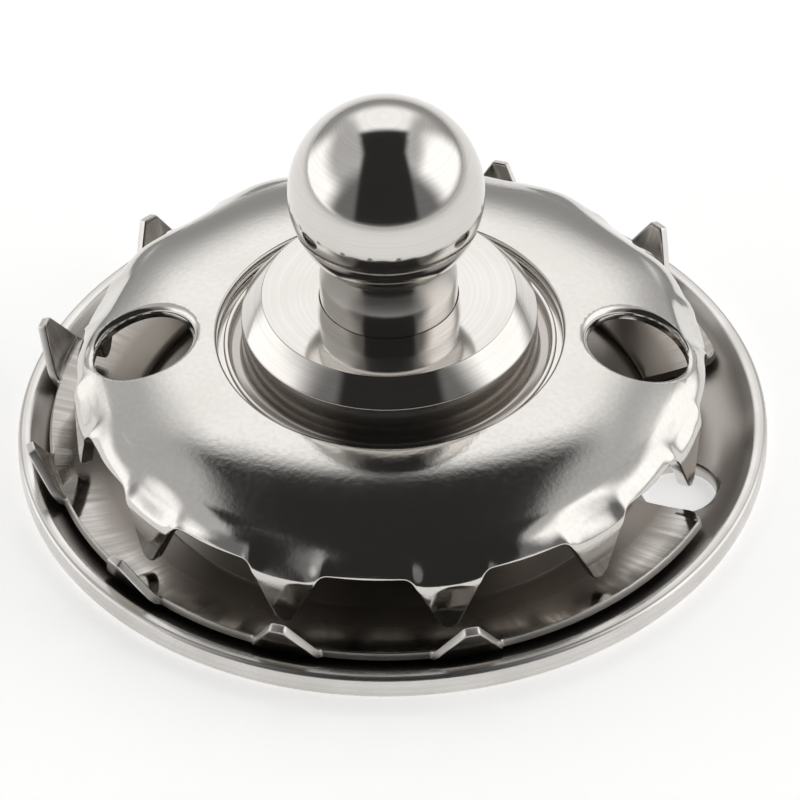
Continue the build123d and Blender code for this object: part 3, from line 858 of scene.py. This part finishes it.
PIECE_FINISHES = [
    (knob, turned_nickel, "bright_nickel"), (bush, hub_nickel, "bright_nickel"),
    (dome, pressed_nickel, "bright_nickel"), (plate, satin_nickel, "satin_nickel"),
    (ring, barrel_nickel, "inner_nickel"), (spring, spring_steel, "spring_steel"),
]
for piece, material, slot in PIECE_FINISHES:
    piece.data.materials.clear()
    piece.data.materials.append(material)
HIDDEN = ["seat_ring", "lifter", "locking_jaw_1", "locking_jaw_2", "locking_jaw_3", "locking_jaw_4"]
for name in HIDDEN:
    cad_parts[name].data.materials.clear()
    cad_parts[name].data.materials.append(barrel_nickel)
print("finished:", len(PIECE_FINISHES), "pieces and", len(HIDDEN), "hidden nodes")

# %% [markdown]
# ## Studio
# A polished ball shows its whole surroundings, so the light has to be a real studio: a white sweep below and
# behind, a large soft light at the right, a low one at the left, and darkness where the camera stands and
# overhead. It is built in the world as soft-edged patches of light by direction. The paper sweep also glows,
# most under the object: painted light that fills in its shadow, so that no shadow greys it and the polished
# undersides see white.

# %% Floor
FLOOR_DROP = 0.02 * MM
GLOW_NEAR, GLOW_FAR = (20 * MM, 0.52), (180 * MM, 0.16)
bpy.ops.object.select_all(action="DESELECT")
bpy.ops.mesh.primitive_plane_add(size=4.0, location=(0, 0, cad_box[0].z - FLOOR_DROP))
floor = bpy.context.object
floor.name = "floor"
paper = bpy.data.materials.new("white_paper_sweep")
paper.use_nodes = True
paper_tree = paper.node_tree
fibre = add_node(paper_tree, "ShaderNodeTexNoise", {
    "Vector": pattern_place(paper_tree, "grain", 0.8), "Scale": 1.0}).outputs["Fac"]
shade = add_node(paper_tree, "ShaderNodeMix", {"Factor": fibre}, data_type="RGBA")
shade.inputs["A"].default_value = linear_colour("f7f6f4")
shade.inputs["B"].default_value = linear_colour("fbfbfa")
place = add_node(paper_tree, "ShaderNodeTexCoord").outputs["Object"]
distance = add_node(paper_tree, "ShaderNodeVectorMath", {0: place}, operation="LENGTH").outputs["Value"]
# The paper's glow is painted light: strongest under the object, it fills in the object's shadow.
painted_glow = add_node(paper_tree, "ShaderNodeMapRange", {
    "Value": distance, "From Min": GLOW_NEAR[0], "From Max": GLOW_FAR[0],
    "To Min": GLOW_NEAR[1], "To Max": GLOW_FAR[1]}, interpolation_type="SMOOTHSTEP").outputs["Result"]
paper_shader = paper_tree.nodes["Principled BSDF"]
paper_shader.inputs["Roughness"].default_value = 0.9
paper_shader.inputs["Emission Color"].default_value = (1, 1, 1, 1)
paper_tree.links.new(shade.outputs["Result"], paper_shader.inputs["Base Color"])
paper_tree.links.new(painted_glow, paper_shader.inputs["Emission Strength"])
floor.data.materials.append(paper)
print("floor at", round(floor.location.z / MM, 3), "mm")

# %% World helpers
world = bpy.data.worlds.new("studio")
bpy.context.scene.world = world
world.use_nodes = True
sky = world.node_tree
direction = add_node(sky, "ShaderNodeTexCoord").outputs["Generated"]
axes = add_node(sky, "ShaderNodeSeparateXYZ", {0: direction}).outputs


def soft_step(value, middle, soft):
    """0 below the middle, 1 above it, soft between; a negative softness turns it round."""
    return add_node(sky, "ShaderNodeMapRange", {
        "Value": value, "From Min": middle - soft, "From Max": middle + soft},
        interpolation_type="SMOOTHSTEP").outputs["Result"]


def patch(edges):
    """The part of the sky inside all its edges (axis or value, where the edge lies, softness)."""
    mask = None
    for value, middle, soft in edges:
        step = soft_step(axes[value] if isinstance(value, str) else value, middle, soft)
        mask = step if mask is None else add_node(
            sky, "ShaderNodeMath", {0: mask, 1: step}, operation="MULTIPLY").outputs[0]
    return mask


def paint(below, mask, brightness):
    """Lays a patch of one brightness over what is below."""
    return add_node(sky, "ShaderNodeMix", {"Factor": mask, "A": below, "B": brightness}).outputs["Result"]


# %% World
# Each patch: brightness, and edges as (axis, where the edge lies from -1 to 1, softness). The patch lies
# above the edge on its axis, or below it where the softness is negative.
LOW_SKY = 0.36
PATCHES = {
    "high sky": (0.58, [("Z", 0.26, 0.16)]),
    "back panel": (1.30, [("X", -0.36, 0.10), ("X", 0.36, -0.10), ("Y", 0.30, 0.05), ("Z", 0.34, 0.14)]),
    "right light": (1.55, [("X", 0.60, 0.15), ("Y", -0.70, 0.16), ("Y", 0.62, -0.16), ("Z", 0.07, 0.09),
                           ("Z", 0.78, -0.12)]),
    "left light": (1.50, [("X", -0.60, -0.15), ("Y", -0.52, 0.16), ("Y", 0.66, -0.16), ("Z", 0.44, -0.16)]),
    "front dusk": (0.20, [("Y", -0.35, -0.20), ("Z", 0.02, 0.05)]),
}
light = LOW_SKY
for brightness, edges in PATCHES.values():
    light = paint(light, patch(edges), brightness)
# The black arch is the dark end of the room. It stands overhead and widens towards the camera.
ARCH_BRIGHTNESS, ARCH_WIDENING = 0.030, 0.25
forward = add_node(sky, "ShaderNodeMath", {0: axes["Y"], 1: -ARCH_WIDENING}, operation="MULTIPLY").outputs[0]
wider = add_node(sky, "ShaderNodeMath", {0: forward, 1: 0.0}, operation="MAXIMUM").outputs[0]
leftward = add_node(sky, "ShaderNodeMath", {0: axes["X"], 1: -1.0}, operation="MULTIPLY").outputs[0]
left_reach = add_node(sky, "ShaderNodeMath", {0: leftward, 1: wider}, operation="SUBTRACT").outputs[0]
right_reach = add_node(sky, "ShaderNodeMath", {0: axes["X"], 1: wider}, operation="SUBTRACT").outputs[0]
black_arch = patch([(left_reach, 0.40, -0.06), (right_reach, 0.38, -0.06), ("Y", 0.49, -0.07),
                    ("Z", 0.02, 0.05)])
light = paint(light, black_arch, ARCH_BRIGHTNESS)
background = sky.nodes["Background"]
sky.links.new(light, background.inputs["Color"])
background.inputs["Strength"].default_value = 1.0
bpy.context.scene.view_settings.view_transform = "Standard"
print("studio:", len(PATCHES) + 1, "patches")
